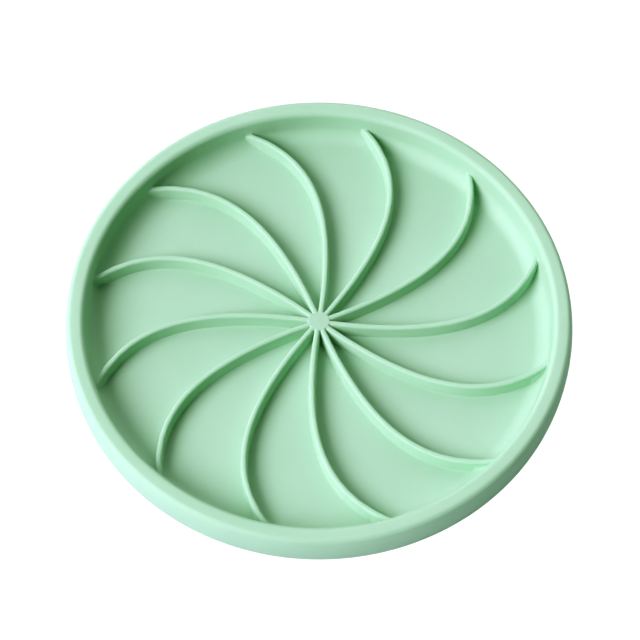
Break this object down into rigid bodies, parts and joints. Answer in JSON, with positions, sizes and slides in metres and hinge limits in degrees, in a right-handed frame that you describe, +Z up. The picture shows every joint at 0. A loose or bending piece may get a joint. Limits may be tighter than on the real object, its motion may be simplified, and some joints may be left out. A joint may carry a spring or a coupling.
{
  "type": "round silicone lick mat dish",
  "caption": "Shallow round silicone dish with a raised rim, and curved ribs that run from a small hub to the wall, for soft pet food.",
  "frame": {"origin": "centre of the flat underside", "axes": "+Z up, square to the underside and out of the open top; -Y towards the viewer, +X to the viewer's right"},
  "size_m": [0.18, 0.18, 0.0136],
  "materials": {
    "silicone": "satin mint green moulded silicone"
  },
  "bodies": {
    "root": {"lick_dish": "silicone"}
  },
  "joints": []
}
